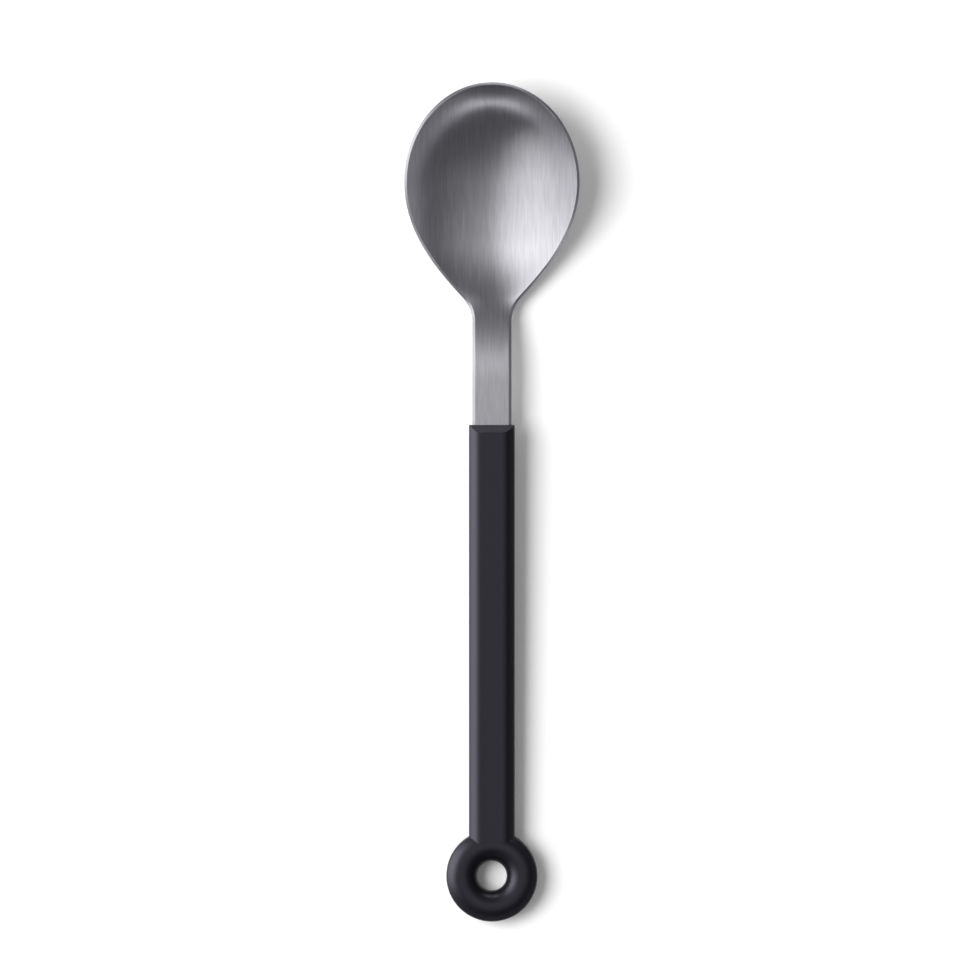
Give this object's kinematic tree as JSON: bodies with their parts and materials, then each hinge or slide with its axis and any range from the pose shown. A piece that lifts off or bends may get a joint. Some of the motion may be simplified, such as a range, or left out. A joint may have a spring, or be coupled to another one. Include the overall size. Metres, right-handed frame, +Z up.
{
  "type": "tablespoon",
  "caption": "Tablespoon with a brushed steel bowl and flat neck, bonded into a straight bevelled plastic handle that ends in a hanging ring.",
  "frame": {"origin": "on the table under the middle of the spoon's box, with the spoon lying on its bowl and its ring", "axes": "+Y along the spoon towards the tip of the bowl, +X across it, +Z up out of the open side of the bowl"},
  "size_m": [0.042, 0.2012, 0.0148],
  "materials": {
    "brushed_steel": "brushed along the length of the spoon",
    "black_plastic": "fine moulded texture, matte",
    "cured_epoxy": "as cured, hidden in the handle"
  },
  "bodies": {
    "root": {"spoon_head": "brushed_steel", "handle": "black_plastic", "tang_adhesive": "cured_epoxy"}
  },
  "joints": []
}
